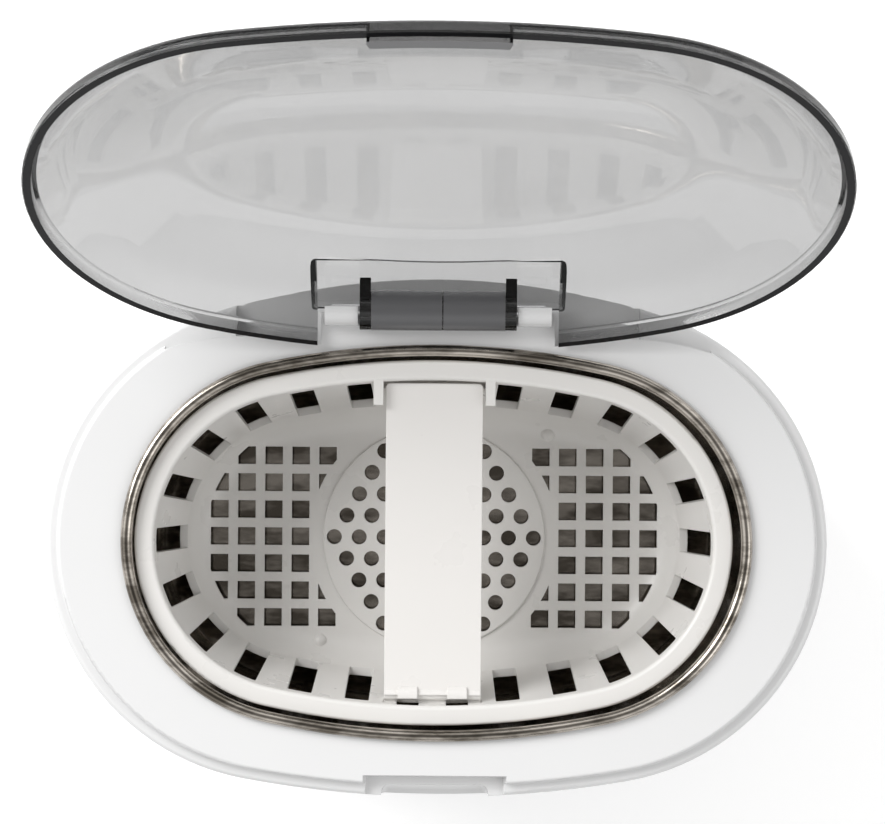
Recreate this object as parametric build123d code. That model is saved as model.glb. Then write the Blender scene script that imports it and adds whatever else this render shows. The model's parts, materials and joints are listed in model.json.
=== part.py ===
from build123d import *

import os
from dataclasses import dataclass
from math import atan2, cos, degrees, radians, sin

# An ultrasonic jewellery cleaner: an oval bench-top unit with a stainless tank, a bolted transducer
# under it, a lift-out basket with a flip-up handle and a hinged smoke-grey lid, drawn with the lid open.
# Millimetres. +X is the right end, -Y the front, +Z up. The origin is the centre of the base's underside.


# ------------------------------------------------------------------ outlines
@dataclass(frozen=True)
class Oval:
    """Two end arcs joined tangentially to a back arc and a front arc, which may be flatter still."""

    half_length: float
    half_width: float
    end_radius: float
    front_drop: float = 0.0

    @property
    def end_centre(self):
        return self.half_length - self.end_radius

    @property
    def front_width(self):
        return self.half_width - self.front_drop

    def side_arc(self, width):
        """Radius, centre offset and half angle of the side arc at a distance from the long axis."""
        centre, end_radius = self.end_centre, self.end_radius
        radius = (centre**2 + width**2 - end_radius**2) / (2 * (width - end_radius))
        offset = radius - width
        return radius, offset, degrees(atan2(centre, offset))

    def inset(self, distance):
        length, width, radius = (size - distance for size in (self.half_length, self.half_width, self.end_radius))
        return Oval(length, width, radius, self.front_drop)

    def arcs(self):
        """Centre, radius, start angle and sweep of each arc, anticlockwise from the right end."""
        back_radius, back_centre, back_half = self.side_arc(self.half_width)
        front_radius, front_centre, front_half = self.side_arc(self.front_width)
        end_sweep = 180 - back_half - front_half
        return [
            ((self.end_centre, 0), self.end_radius, front_half - 90, end_sweep),
            ((0, -back_centre), back_radius, 90 - back_half, 2 * back_half),
            ((-self.end_centre, 0), self.end_radius, 90 + back_half, end_sweep),
            ((0, front_centre), front_radius, 270 - front_half, 2 * front_half),
        ]

    def face(self, height=0.0):
        return Pos(0, 0, height) * make_face([CenterArc(*arc) for arc in self.arcs()])

    def front_depth(self, x):
        """Distance from the long axis to the front arc at x."""
        radius, offset, _ = self.side_arc(self.front_width)
        return (radius**2 - x**2) ** 0.5 - offset


BODY = Oval(102.5, 70.0, 63.3, front_drop=3.2)
TANK = Oval(82.6, 51.9, 48.2)
BASKET = Oval(78.4, 47.9, 44.2)

# ------------------------------------------------------------------ heights and shells
DECK_Z = 114.0
LEDGE_DROP = 2.8
LEDGE_WIDTH = 3.25
LEDGE_Z = DECK_Z - LEDGE_DROP
SHELL_WALL = 2.5
SHELL_FOOT_Z = 8.0
DRAFT_TOP_Z = 100.0
DRAFT_INSET = 2.6
CORE_INSET = 30.0
OVERLAP = 1.0
FIT = 0.3

# ------------------------------------------------------------------ tank
SHEET = 0.8
BEAD_RADIUS = 1.5
BEAD_LIFT = 0.7
TANK_FLOOR_Z = 62.0
TANK_FLOOR_RADIUS = 12.0
TANK_DRAFT = 2.5
TANK_OPENING_INSET = 1.9

# ------------------------------------------------------------------ basket
FLANGE_Z = DECK_Z - 1.5
FLANGE_WIDTH = 5.0
FLANGE_THICK = 2.0
BASKET_WALL = 1.8
BASKET_FOOT = 4.2
BASKET_FLOOR_Z = TANK_FLOOR_Z + FIT + BASKET_FOOT + BASKET_WALL
BASKET_RUN = 7.4
BASKET_FILLET = 9.0
BASKET_SHIFT_X = -0.8
SLOT_WIDTH = 6.4
SLOT_TOP = 3.2
SLOT_TALL = 35.0
SLOTS_PER_HALF = 11
SLOT_FIRST_X = 20.0
GRID_PITCH = 7.37
GRID_HOLE = 4.8
GRID_OVAL = Oval(62.3, 33.0, 31.9)
GRID_CLEAR_RADIUS = 34.0
GRID_FIRST_X = 29.1
DISC_RADIUS = 30.3
DISC_RISE = 0.7
DOT_RADIUS = 2.05
DOT_PITCH = 6.8
NUB_RADIUS = 2.2
NUB_PLACES = [(-31.0, -28.6), (31.0, 28.6)]
FOOT_STUB = (31.0, 28.6)

# ------------------------------------------------------------------ basket handle
STRAP_HALF = 12.7
STRAP_THICK = 1.8
STRAP_Z = FLANGE_Z - 2.9
STRAP_BACK_Y = 41.8
STRAP_LIP = 2.4
BAR_Y = -40.1
BAR_Z = FLANGE_Z - 4.4
BAR_RADIUS = 1.4
BAR_PLAY = 0.08
KNUCKLE_RADIUS = 2.7
KNUCKLE_MOUTH = 0.9
BEAD_ROUND = 2.0
KNUCKLE_X = (3.9, 9.1)
POST_X = (13.4, 16.0)
POST_REACH_Y = 36.0
WINDOW_TALL = 9.0

# ------------------------------------------------------------------ lid and hinge
HINGE_Y = 60.7
HINGE_UP = 7.0
RIM_GAP = 0.3
RIM_Z = LEDGE_Z + RIM_GAP
HINGE_Z = RIM_Z + HINGE_UP
OPEN_ANGLE = 122.0
LID_WALL = 2.0
LID_OUTLINE = [(0.0, 3.2, 2.6), (8.0, 9.4, 22.0), (34.0, 17.0, 60.0), (43.0, 17.0, 0.0)]
LID_CORE_INSET = 43.0
RIM_BAND = 2.3
RIM_LIP_INSET = 3.5
RIM_LIP_Z = 2.9
HOOD_HALF = 33.2
HOOD_WALL = 1.8
HOOD_BACK_Y = 66.7
HOOD_FRONT_Y = 45.0
HOOD_CORE_Y = 40.0
HOOD_Z = 13.8
NOTCH_Z = 11.2
NOTCH_HALF = HOOD_HALF - HOOD_WALL
BARREL_RADIUS = 5.2
ARM_X = (17.5, 20.4)
ARM_FRONT = -8.0
PIN_RADIUS = 1.5
PIN_HALF = 28.0
PIN_PLAY = 0.05
LUG_X = (20.8, 29.5)
LUG_RADIUS = 4.0
LUG_BACK = 0.5
LUG_MOUTH = 0.9
GRIP_HALF = 17.0
GRIP_INSETS = (2.0, 4.6)
GRIP_HEIGHTS = (-1.4, 4.0, 6.0)

# ------------------------------------------------------------------ well behind the hinge, finger scoop
WELL_HALF = 34.3
WELL_DEPTH = 6.2
WELL_WALL = 2.6
POCKET_X = (30.6, 53.0, 71.5)
POCKET_FRONT = [(30.6, 51.7), (52.0, 53.8), (71.5, 50.2)]
SCOOP_HALF = 14.0
SCOOP_FLARE_HALF = (17.9, 18.8)
SCOOP_BACK = 3.2
SCOOP_FLARE_BACK = (5.3, 5.9)
SCOOP_FLARE_DROP = 1.8
SCOOP_DEPTH = 13.0

# ------------------------------------------------------------------ base, feet and screws
BASE_PLATE = 2.5
BASE_TOP_Z = SHELL_FOOT_Z - 0.2
TONGUE_Z = 11.0
BOSS_RADIUS = 4.0
BOSS_PLACES = [(x, y) for x in (-74.5, 74.5) for y in (-37.7, 37.7)]
FOOT_RADIUS = 8.0
FOOT_HEIGHT = 3.0
FOOT_SEAT = 0.8
FOOT_PLACES = [(x, y) for x in (-59.0, 59.0) for y in (-40.0, 40.0)]
SCREW_RADIUS = 1.5
SCREW_HEAD_RADIUS = 3.0
SCREW_HEAD = 2.2
SCREW_PLAY = 0.03
VENT_HALF = 22.0
VENT_WIDTH = 2.4
VENT_PITCH = 6.5
VENT_COUNT = 6

# ------------------------------------------------------------------ transducer under the tank
STACK_TOP_Z = TANK_FLOOR_Z - SHEET
HORN_TOP_RADIUS = 23.0
STACK_RADIUS = 19.0
HORN_HEIGHT = 22.0
HORN_CONE = 9.0
RING_THICK = 5.0
RING_HOLE = 7.5
ELECTRODE = 0.4
BACK_MASS = 15.0
BOLT_RADIUS = 5.0
BOLT_HEAD_RADIUS = 8.0
BOLT_HEAD = 6.0

# ------------------------------------------------------------------ driver board on the base
BOARD_Z = 12.0
BOARD_THICK = 1.6
BOARD_X = (-84.0, -30.0)
BOARD_HALF_Y = 32.0
BOARD_TOP = BOARD_Z + BOARD_THICK
BOARD_POSTS = [(x, y) for x in (-80.0, -34.0) for y in (-28.0, 28.0)]
BOARD_POST_RADIUS = 3.0
BOARD_SCREW = 6.0

# ------------------------------------------------------------------ control panel on the front wall
PANEL_Z = 70.0
PANEL_SIZE = (84.0, 46.0)
PANEL_CORNER = 9.0
PANEL_PROUD = 0.5
PANEL_SEAT = 1.0
WINDOW_Z = PANEL_Z + 8.5
WINDOW_SIZE = (44.0, 19.0)
BUTTON_Z = PANEL_Z - 12.5
BUTTON_X = {"power_button": -26.0, "timer_button": 0.0, "stop_button": 26.0}
BUTTON_RADIUS = 5.0
BUTTON_PROUD = 1.7
BUTTON_FLANGE_RADIUS = 6.0
BUTTON_FLANGE_FRONT = -61.0
BUTTON_REAR = -60.0
CONTROL_FRONT_Y = -54.8
SWITCH_TIP_Y = -59.3
CONTROL_POST_X = (-38.0, 38.0)
CONTROL_POST_Z = (PANEL_Z - 19.0, PANEL_Z + 19.0)

# ------------------------------------------------------------------ figure-eight power inlet at the rear
INLET_Z = 24.0
INLET_FACE_Y = 68.3
INLET_FLANGE = (27.0, 17.0, 1.5)
INLET_BODY = (21.6, 12.6, 15.0)
INLET_MOUTH = (15.8, 8.0, 9.0)
INLET_PIN_RADIUS = 1.2
INLET_PIN_SPACING = 8.6


# ------------------------------------------------------------------ shared construction
def fuse(shapes):
    """One body from touching shapes."""
    shapes = list(shapes)
    return shapes[0].fuse(*shapes[1:]) if len(shapes) > 1 else shapes[0]


def group(shapes):
    """Separate solids kept together in one sub-part."""
    return Compound(children=[solid for shape in shapes for solid in shape.solids()])


def section(corners):
    """A closed face from (inset, height, corner radius) triples, with x measured outwards."""
    points = [(-inset, height) for inset, height, _ in corners]
    return make_face(FilletPolyline(*points, radius=[corner[2] for corner in corners], close=True))


def sweep_round(oval, profile):
    """Carry a profile (x outwards from the oval's edge, y up) once round the oval."""
    sectors = []
    for centre, radius, start, size in oval.arcs():
        outwards = Vector(cos(radians(start)), sin(radians(start)), 0)
        plane = Plane(origin=(*centre, 0), x_dir=outwards, z_dir=outwards.cross(Vector(0, 0, 1)))
        axis = Axis((*centre, 0), (0, 0, 1))
        sectors.append(revolve(plane * Pos(radius, 0) * profile, axis, size))
    return fuse(sectors)


def oval_solid(oval, corners):
    """A solid whose edge follows corners, given from its lowest inner corner to its highest inner one."""
    low, high = corners[0], corners[-1]
    core = extrude(oval.inset(low[0]).face(low[1]), high[1] - low[1])
    return fuse([sweep_round(oval, section(corners)), core])


def oval_prism(oval, low, high):
    return extrude(oval.face(low), high - low)


def offset_corners(corners, wall):
    """The same open outline moved inwards by a wall thickness, with its corner radii kept concentric."""
    moved = []
    for index, (inset, height, radius) in enumerate(corners):
        before = corners[max(index - 1, 0)]
        after = corners[min(index + 1, len(corners) - 1)]
        into = degrees(atan2(height - before[1], inset - before[0])) if index else None
        out = degrees(atan2(after[1] - height, after[0] - inset)) if after[:2] != (inset, height) else into
        into = out if into is None else into
        half_turn = radians((out - into) / 2)
        normal = radians((out + into) / 2)
        reach = wall / cos(half_turn)
        new_radius = radius + (wall if out > into else -wall) if radius else 0.0
        moved.append((inset + reach * sin(normal), height - reach * cos(normal), new_radius))
    return moved


def drafted_wall(near, far):
    """A band of the body's outer wall between two depths measured from its outer face."""
    low, high = SHELL_FOOT_Z, DRAFT_TOP_Z
    return sweep_round(
        BODY,
        section(
            [
                (DRAFT_INSET + near, low, 0),
                (near, high, 0),
                (far, high, 0),
                (DRAFT_INSET + far, low, 0),
            ]
        ),
    )


def front_prism(face):
    """Extrude a face drawn in X and Z towards the front wall, from y = -50 outwards."""
    return extrude(Plane(origin=(0, -50, 0), x_dir=(1, 0, 0), z_dir=(0, -1, 0)) * face, 30)


def rounded_plate(size, radius, x=0.0, z=0.0):
    return Pos(x, z) * RectangleRounded(*size, radius)


def cylinder_along_y(radius, start, end, x, z):
    """A round bar from y = start to y = end."""
    disc = Plane(origin=(x, start, z), x_dir=(1, 0, 0), z_dir=(0, 1 if end > start else -1, 0)) * Circle(radius)
    return extrude(disc, abs(end - start))


def cylinder_along_x(radius, start, end, y, z):
    disc = Plane(origin=(start, y, z), x_dir=(0, 1, 0), z_dir=(1, 0, 0)) * Circle(radius)
    return extrude(disc, end - start)


def cylinder_up(radius, low, high, x=0.0, y=0.0):
    return extrude(Pos(x, y, low) * Circle(radius), high - low)


def box(x, y, z):
    """A box from three (low, high) ranges."""
    size = [high - low for low, high in (x, y, z)]
    return Pos(x[0], y[0], z[0]) * Box(*size, align=(Align.MIN,) * 3)


def slab_along_x(x, outline_yz):
    """Extrude a face drawn in Y and Z between two x values."""
    face = Plane(origin=(x[0], 0, 0), x_dir=(0, 1, 0), z_dir=(1, 0, 0)) * outline_yz
    return extrude(face, x[1] - x[0])


def mirrored_x(span):
    """The same x range on both sides of the middle."""
    return [span, (-span[1], -span[0])]


def body_wall_y(x, z, depth=0.0):
    """Distance from the long axis to the body's front wall at a height, less a depth."""
    inset = DRAFT_INSET * (DRAFT_TOP_Z - z) / (DRAFT_TOP_Z - SHELL_FOOT_Z)
    return BODY.inset(inset + depth).front_depth(x)


# ------------------------------------------------------------------ outer casing
def housing_outer():
    return oval_solid(
        BODY,
        [
            (CORE_INSET, SHELL_FOOT_Z, 0),
            (DRAFT_INSET, SHELL_FOOT_Z, 0),
            (0, DRAFT_TOP_Z, 40),
            (0, LEDGE_Z, 1.5),
            (LEDGE_WIDTH, LEDGE_Z, 0.5),
            (LEDGE_WIDTH, DECK_Z, 0.9),
            (CORE_INSET, DECK_Z, 0),
        ],
    )


def housing_cavity():
    ceiling, shoulder = DECK_Z - SHELL_WALL, LEDGE_Z - SHELL_WALL
    return oval_solid(
        BODY,
        [
            (CORE_INSET, SHELL_FOOT_Z - OVERLAP, 0),
            (DRAFT_INSET + SHELL_WALL, SHELL_FOOT_Z - OVERLAP, 0),
            (SHELL_WALL, DRAFT_TOP_Z, 0),
            (SHELL_WALL, shoulder, 0),
            (LEDGE_WIDTH + SHELL_WALL, shoulder, 0),
            (LEDGE_WIDTH + SHELL_WALL, ceiling, 0),
            (CORE_INSET, ceiling, 0),
        ],
    )


def hinge_block():
    """Solid stock under the deck that the well and trough are cut into."""
    reach = POCKET_X[2] + WELL_WALL
    return box((-reach, reach), (47.0, BODY.half_width), (DECK_Z - WELL_DEPTH - WELL_WALL, DECK_Z - OVERLAP))


def hinge_well():
    """The open-backed well that the lid's hood turns down into, and the trough under its barrel."""
    well = box((-WELL_HALF, WELL_HALF), (HINGE_Y - LUG_BACK, 80), (DECK_Z - WELL_DEPTH, DECK_Z + 20))
    trough = cylinder_along_x(BARREL_RADIUS + 0.5, -LUG_X[0], LUG_X[0], HINGE_Y, HINGE_Z)
    return [well, trough]


def hinge_pockets():
    """Room either side of the hinge for the lid's back rim to swing down through the deck."""
    (start_x, start_y), via, (end_x, end_y) = POCKET_FRONT
    back = BODY.half_width + 5
    edge = ThreePointArc((start_x, start_y), via, (end_x, end_y))
    sides = Polyline((end_x, end_y), (end_x, back), (start_x, back), (start_x, start_y))
    plan = make_face([edge, *sides.edges()])
    shallow = extrude(Pos(0, 0, LEDGE_Z) * plan, LEDGE_DROP + OVERLAP)
    floor_z = DECK_Z - WELL_DEPTH
    deep = extrude(Pos(0, 0, floor_z) * plan, WELL_DEPTH + OVERLAP) & box((0, POCKET_X[1]), (0, back), (0, 2 * DECK_Z))
    right = shallow + deep
    return [right, mirror(right, Plane.YZ)]


def hinge_lugs():
    """The two lugs on the deck that the hinge pin's ends press into from behind."""
    lugs = []
    for span in mirrored_x(LUG_X):
        eye = cylinder_along_x(LUG_RADIUS, *span, HINGE_Y, HINGE_Z)
        stem = box(span, (HINGE_Y - LUG_RADIUS, HINGE_Y - LUG_BACK), (DECK_Z - OVERLAP, HINGE_Z))
        beyond = box(span, (HINGE_Y + LUG_MOUTH, 80), (DECK_Z - OVERLAP, DECK_Z + 20))
        lugs.append(eye + stem - beyond)
    return lugs


def scoop_cuts():
    """The finger scoop at the front edge, flared at the top to take the lid's grip tab."""
    front, back = -BODY.front_width - 5, -BODY.front_width + SCOOP_BACK
    outline = make_face(
        FilletPolyline(
            (back, DECK_Z + OVERLAP),
            (back, DECK_Z - SCOOP_DEPTH),
            (front, DECK_Z - SCOOP_DEPTH),
            (front, DECK_Z + OVERLAP),
            radius=[0, 6.0, 0, 0],
            close=True,
        )
    )
    pocket = slab_along_x((-SCOOP_HALF, SCOOP_HALF), outline)
    pocket = fillet(pocket.edges().filter_by(Axis.Z).group_by(Axis.Y)[-1], 2.0)
    flare = []
    for height, half, inset in zip((LEDGE_Z - SCOOP_FLARE_DROP, DECK_Z + 0.01), SCOOP_FLARE_HALF, SCOOP_FLARE_BACK):
        lip = -BODY.front_width + inset
        corners = [(-half, front), (half, front), (half, lip), (-half, lip)]
        flare.append(Pos(0, 0, height) * make_face(Polyline(*corners, close=True)))
    return [pocket, loft(flare)]


def scoop_block():
    """Stock behind the scoop, so that the wall stays closed round it."""
    back = -BODY.front_width + SCOOP_FLARE_BACK[1] + SHELL_WALL
    reach = SCOOP_FLARE_HALF[1] + SHELL_WALL
    return box((-reach, reach), (-BODY.front_width, back), (DECK_Z - SCOOP_DEPTH - SHELL_WALL, DECK_Z - OVERLAP))


def housing_bosses():
    return [cylinder_up(BOSS_RADIUS, SHELL_FOOT_Z, DECK_Z - OVERLAP, *place) for place in BOSS_PLACES]


def control_posts():
    """Posts from the inside of the front wall to the control board."""
    posts = []
    for x in CONTROL_POST_X:
        for z in CONTROL_POST_Z:
            start = -body_wall_y(x, z, SHELL_WALL / 2)
            posts.append(cylinder_along_y(2.6, start, CONTROL_FRONT_Y, x, z))
    return posts


def panel_openings():
    """The shallow seat for the fascia, and the button and display holes through the wall."""
    seat = front_prism(rounded_plate((PANEL_SIZE[0] + 0.2, PANEL_SIZE[1] + 0.2), PANEL_CORNER, z=PANEL_Z))
    seat = seat & drafted_wall(-3.0, PANEL_SEAT + 0.02)
    display = front_prism(rounded_plate((WINDOW_SIZE[0] - 5, WINDOW_SIZE[1] - 4), 1.5, z=WINDOW_Z))
    holes = [cylinder_along_y(BUTTON_RADIUS + FIT, -80, -58, x, BUTTON_Z) for x in BUTTON_X.values()]
    return [seat, display, *holes]


def inlet_opening():
    width, height, depth = INLET_FLANGE
    seat_y = INLET_FACE_Y - depth
    seat = box((-width / 2 - 0.2, width / 2 + 0.2), (seat_y, 80),
               (INLET_Z - height / 2 - 0.2, INLET_Z + height / 2 + 0.2))
    hole = box((-INLET_BODY[0] / 2 - 0.1, INLET_BODY[0] / 2 + 0.1), (seat_y - 8, seat_y + 1),
               (INLET_Z - INLET_BODY[1] / 2 - 0.1, INLET_Z + INLET_BODY[1] / 2 + 0.1))
    return [seat, hole]


def top_housing():
    """The white outer shell: deck, lid ledge, walls, hinge lugs and screw bosses in one moulding."""
    outer = housing_outer()
    shell = outer - housing_cavity()
    inside = fuse([hinge_block(), scoop_block(), *housing_bosses()]) & outer
    shell = fuse([shell, *inside.solids(), *control_posts()])
    cuts = [
        *hinge_well(),
        *hinge_pockets(),
        *scoop_cuts(),
        *panel_openings(),
        *inlet_opening(),
        oval_prism(TANK.inset(TANK_OPENING_INSET), DECK_Z - 12, DECK_Z + OVERLAP),
    ]
    shell = shell.cut(*cuts)
    shell = fuse([shell, *hinge_lugs()])
    pin_bore = cylinder_along_x(PIN_RADIUS + 0.02, -PIN_HALF - FIT, PIN_HALF + FIT, HINGE_Y, HINGE_Z)
    pilots = [cylinder_up(SCREW_RADIUS + SCREW_PLAY, 0, 30, *place) for place in BOSS_PLACES]
    pilots += [
        cylinder_along_y(1.03, CONTROL_FRONT_Y, CONTROL_FRONT_Y - 4.2, x, z)
        for x in CONTROL_POST_X
        for z in CONTROL_POST_Z
    ]
    return shell.cut(pin_bore, *pilots)


def base_cover():
    """The bottom cover: plate, parting band, tongue, vents, screw bosses and board posts."""
    outer = oval_solid(
        BODY,
        [
            (CORE_INSET, 0, 0),
            (DRAFT_INSET + 0.4, 0, 2.0),
            (DRAFT_INSET + 0.2, BASE_TOP_Z, 0),
            (DRAFT_INSET + SHELL_WALL + FIT, BASE_TOP_Z, 0),
            (DRAFT_INSET + SHELL_WALL + FIT, TONGUE_Z, 0),
            (CORE_INSET, TONGUE_Z, 0),
        ],
    )
    hollow = oval_prism(BODY.inset(DRAFT_INSET + SHELL_WALL + 2.0), BASE_PLATE, TONGUE_Z + OVERLAP)
    cover = outer - hollow
    bosses = [cylinder_up(BOSS_RADIUS, OVERLAP, SHELL_FOOT_Z, *place) for place in BOSS_PLACES]
    posts = [cylinder_up(BOARD_POST_RADIUS, OVERLAP, BOARD_Z, *place) for place in BOARD_POSTS]
    cover = fuse([cover, *bosses, *posts])
    cuts = []
    for place in BOSS_PLACES:
        cuts.append(cylinder_up(SCREW_HEAD_RADIUS + 0.5, -OVERLAP, FOOT_SEAT + SCREW_HEAD, *place))
        cuts.append(cylinder_up(SCREW_RADIUS + 0.2, -OVERLAP, SHELL_FOOT_Z + OVERLAP, *place))
        boss_room = cylinder_up(BOSS_RADIUS + 0.2, SHELL_FOOT_Z, TONGUE_Z + OVERLAP, *place)
        cuts.append(boss_room)
    cuts += [cylinder_up(FOOT_RADIUS + 0.05, -OVERLAP, FOOT_SEAT, *place) for place in FOOT_PLACES]
    cuts += [cylinder_up(1.23, BOARD_Z - 6, BOARD_Z + OVERLAP, *place) for place in BOARD_POSTS]
    for index in range(VENT_COUNT):
        x = (index - (VENT_COUNT - 1) / 2) * VENT_PITCH
        slot = Pos(x, 0, -OVERLAP) * Rot(0, 0, 90) * SlotOverall(2 * VENT_HALF, VENT_WIDTH)
        cuts.append(extrude(slot, BASE_PLATE + 2 * OVERLAP))
    return cover.cut(*cuts)


def rubber_feet():
    feet = []
    for x, y in FOOT_PLACES:
        pad = cylinder_up(FOOT_RADIUS, -FOOT_HEIGHT, FOOT_SEAT, x, y)
        feet.append(chamfer(pad.edges().group_by(Axis.Z)[0], 0.8))
    return group(feet)


def screw_up(x, y, head_z, length, head_radius=SCREW_HEAD_RADIUS, radius=SCREW_RADIUS, head=SCREW_HEAD):
    """A pan-head screw driven upwards, with a cross recess in its head."""
    head_disc = cylinder_up(head_radius, head_z, head_z + head, x, y)
    head_disc = fillet(head_disc.edges().group_by(Axis.Z)[0], head * 0.35)
    shank = cylinder_up(radius, head_z + head * 0.5, head_z + head + length, x, y)
    cross = [
        box((x - long, x + long), (y - wide, y + wide), (head_z - 1, head_z + head * 0.55))
        for long, wide in ((head_radius * 0.55, 0.35), (0.35, head_radius * 0.55))
    ]
    return (head_disc + shank).cut(*cross)


def base_screws():
    return group(screw_up(x, y, FOOT_SEAT, 17.0) for x, y in BOSS_PLACES)


def hinge_pin():
    pin = cylinder_along_x(PIN_RADIUS, -PIN_HALF, PIN_HALF, HINGE_Y, HINGE_Z)
    return chamfer(pin.edges().filter_by(GeomType.CIRCLE), 0.3)


# ------------------------------------------------------------------ tank
def tank():
    """The drawn stainless tank with its rolled rim."""
    top = DECK_Z + BEAD_LIFT
    floor_inset = 2 * BEAD_RADIUS + TANK_DRAFT
    outer = oval_solid(
        TANK,
        [
            (CORE_INSET, TANK_FLOOR_Z - SHEET, 0),
            (floor_inset - SHEET, TANK_FLOOR_Z - SHEET, TANK_FLOOR_RADIUS + SHEET),
            (2 * BEAD_RADIUS - SHEET, top, 0),
            (CORE_INSET, top, 0),
        ],
    )
    inner = oval_solid(
        TANK,
        [
            (CORE_INSET, TANK_FLOOR_Z, 0),
            (floor_inset, TANK_FLOOR_Z, TANK_FLOOR_RADIUS),
            (2 * BEAD_RADIUS, top, 0),
            (2 * BEAD_RADIUS, top + OVERLAP, 0),
            (CORE_INSET, top + OVERLAP, 0),
        ],
    )
    ring = Circle(BEAD_RADIUS) - Circle(BEAD_RADIUS - SHEET)
    half = ring & (Pos(0, BEAD_RADIUS) * Rectangle(4 * BEAD_RADIUS, 2 * BEAD_RADIUS))
    bead = sweep_round(TANK, Pos(-BEAD_RADIUS, top) * half)
    return fuse([outer - inner, bead])


def tank_gasket():
    return sweep_round(
        TANK,
        section(
            [
                (0.1, DECK_Z, 0),
                (0.1, DECK_Z + BEAD_LIFT, 0),
                (TANK_OPENING_INSET, DECK_Z + BEAD_LIFT, 0),
                (TANK_OPENING_INSET, DECK_Z, 0),
            ]
        ),
    )


# ------------------------------------------------------------------ transducer
RING_TOP_Z = STACK_TOP_Z - HORN_HEIGHT
ELECTRODE_Z = [RING_TOP_Z - index * (RING_THICK + ELECTRODE) for index in range(3)]
BACK_TOP_Z = ELECTRODE_Z[2] - ELECTRODE


def transducer_horn():
    """The aluminium front mass bonded to the tank floor."""
    flare = Pos(0, 0, STACK_TOP_Z - HORN_CONE / 2) * Cone(STACK_RADIUS, HORN_TOP_RADIUS, HORN_CONE)
    stem = cylinder_up(STACK_RADIUS, RING_TOP_Z, STACK_TOP_Z - HORN_CONE)
    return (flare + stem) - cylinder_up(BOLT_RADIUS + 0.05, RING_TOP_Z - 1, STACK_TOP_Z - 6)


def piezo_rings():
    rings = []
    for top in ELECTRODE_Z[:2]:
        low = top - ELECTRODE - RING_THICK
        rings.append(cylinder_up(STACK_RADIUS, low, low + RING_THICK) - cylinder_up(RING_HOLE, low - 1, top + 1))
    return group(rings)


def electrodes():
    """Three brass electrodes with solder tags, above, between and below the rings."""
    plates = []
    for index, top in enumerate(ELECTRODE_Z):
        side = -1 if index == 1 else 1
        plate = cylinder_up(STACK_RADIUS, top - ELECTRODE, top)
        tag = box(sorted((side * (STACK_RADIUS - 1), side * (STACK_RADIUS + 7))), (-2, 2), (top - ELECTRODE, top))
        plates.append((plate + tag) - cylinder_up(RING_HOLE, top - 2, top + 1))
    return group(plates)


def transducer_back_mass():
    low = BACK_TOP_Z - BACK_MASS
    mass = cylinder_up(STACK_RADIUS, low, BACK_TOP_Z)
    mass = chamfer(mass.edges().group_by(Axis.Z)[0], 1.0)
    return mass - cylinder_up(BOLT_RADIUS + 0.05, low - 1, BACK_TOP_Z + 1)


def transducer_bolt():
    """The socket-head bolt that clamps the stack."""
    low = BACK_TOP_Z - BACK_MASS
    head = cylinder_up(BOLT_HEAD_RADIUS, low - BOLT_HEAD, low)
    head = chamfer(head.edges().group_by(Axis.Z)[0], 0.6)
    shank = cylinder_up(BOLT_RADIUS, low - 1, STACK_TOP_Z - 6.5)
    socket = extrude(Pos(0, 0, low - BOLT_HEAD - 1) * RegularPolygon(4.0, 6), 4.5)
    return (head + shank) - socket


# ------------------------------------------------------------------ driver electronics
def on_board(x, y, size, low=0.0):
    """A block standing on the driver board, low above its face."""
    width, depth, height = size
    base = BOARD_TOP + low
    return box((x - width / 2, x + width / 2), (y - depth / 2, y + depth / 2), (base, base + height))


def driver_board():
    board = box(BOARD_X, (-BOARD_HALF_Y, BOARD_HALF_Y), (BOARD_Z, BOARD_TOP))
    board = fillet(board.edges().filter_by(Axis.Z), 2.0)
    return board.cut(*[cylinder_up(1.7, BOARD_Z - 1, BOARD_TOP + 1, *place) for place in BOARD_POSTS])


def board_screws():
    """Screws through the driver board into the base's posts."""
    screws = []
    for x, y in BOARD_POSTS:
        head = fillet(cylinder_up(2.6, BOARD_TOP, BOARD_TOP + 2, x, y).edges().group_by(Axis.Z)[-1], 0.7)
        screws.append(head + cylinder_up(1.2, BOARD_TOP - BOARD_SCREW, BOARD_TOP + 1, x, y))
    return group(screws)


TRANSFORMER_XY = (-45.5, -10.0)
INDUCTOR_XY = (-44.5, 17.0)
RIBBON_XY = (-37.0, -22.3)


def transformer_core():
    x, y = TRANSFORMER_XY
    core = on_board(x, y, (26.0, 8.0, 22.0), 2.0)
    windows = [on_board(x + side * 6.4, y, (5.6, 10.0, 14.0), 6.0) for side in (-1, 1)]
    return core.cut(*windows)


def transformer_winding():
    """The bobbin and its taped coil, round the core's middle leg."""
    x, y = TRANSFORMER_XY
    coil = fillet(on_board(x, y, (17.6, 18.0, 13.2), 6.4).edges().filter_by(Axis.Z), 2.5)
    leg = on_board(x, y, (7.2 + 0.05, 8.05, 16.0), 5.0)
    outer_legs = [on_board(x + side * 11.1, y, (3.9, 8.1, 16.0), 5.0) for side in (-1, 1)]
    return coil.cut(leg, *outer_legs)


def output_inductor():
    """A wound toroid on edge."""
    x, y = INDUCTOR_XY
    disc = cylinder_along_y(11.0, y - 5, y + 5, x, BOARD_TOP + 11.2)
    disc = fillet(disc.edges().filter_by(GeomType.CIRCLE), 2.5)
    return disc - cylinder_along_y(4.0, y - 6, y + 6, x, BOARD_TOP + 11.2)


def main_capacitor():
    can = cylinder_up(8.0, BOARD_TOP, BOARD_TOP + 26, -66.0, -17.5)
    return fillet(can.edges().group_by(Axis.Z)[-1], 1.2)


def film_capacitors():
    blocks = [on_board(-64.0, y, (17.0, 7.0, 12.0)) for y in (2.5, 12.0, 21.5)]
    return group(fillet(block.edges(), 0.8) for block in blocks)


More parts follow.
